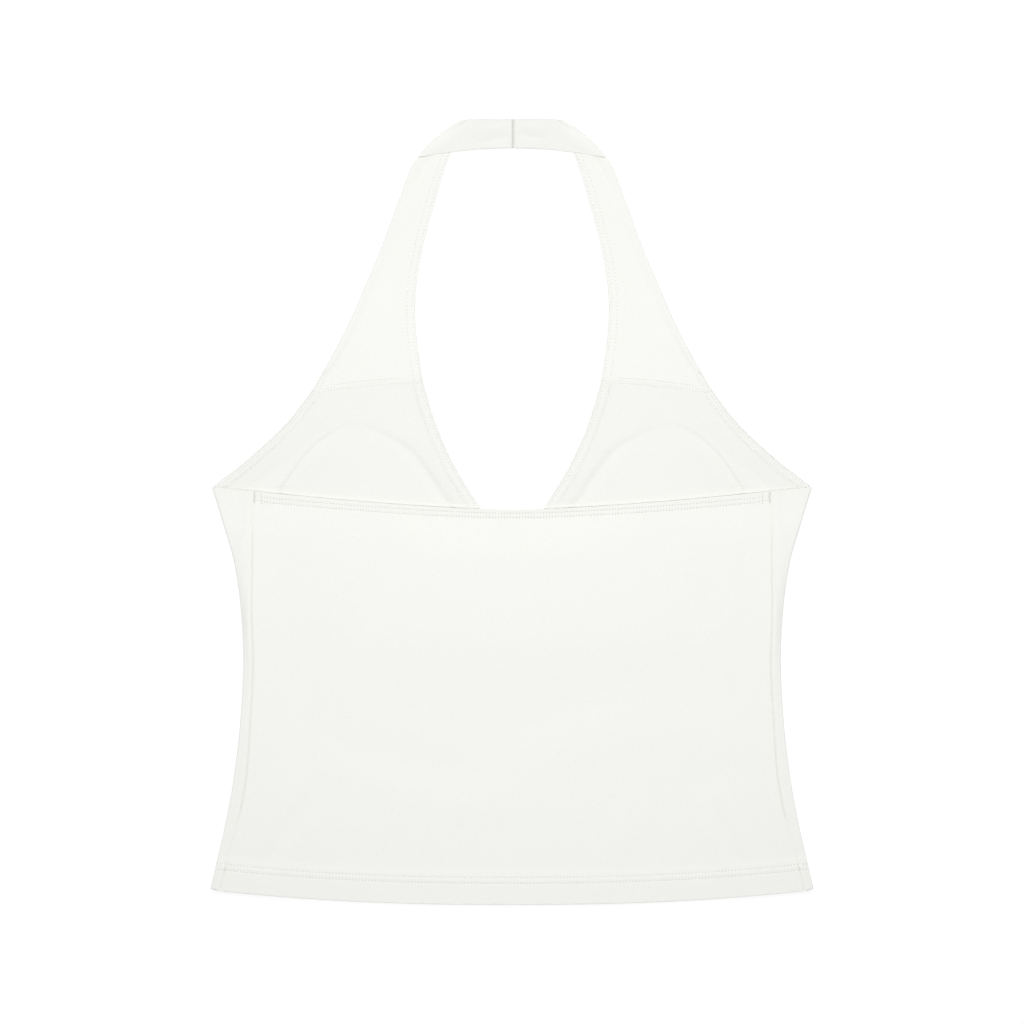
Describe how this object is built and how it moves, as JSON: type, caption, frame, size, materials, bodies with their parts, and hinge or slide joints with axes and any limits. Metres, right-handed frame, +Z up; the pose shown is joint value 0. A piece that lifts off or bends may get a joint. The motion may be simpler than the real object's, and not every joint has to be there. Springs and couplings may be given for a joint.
{
  "type": "halter neck top",
  "caption": "Sleeveless jersey halter neck top with padded cups, laid flat with its back uppermost; its straps fold over into a neck band.",
  "frame": {"origin": "middle of the garment's outline, on the surface that it lies on", "axes": "+X to the right as seen from above, +Y from the hem towards the neck, +Z up from the surface"},
  "size_m": [0.4112, 0.5357, 0.009],
  "materials": {
    "jersey": "matt off-white stretch jersey",
    "lining": "matt off-white jersey lining"
  },
  "bodies": {
    "root": {"front_body": "jersey", "front_bust": "jersey", "bust_lining": "lining", "strap_left": "jersey", "strap_right": "jersey", "back_body": "jersey"}
  },
  "joints": []
}
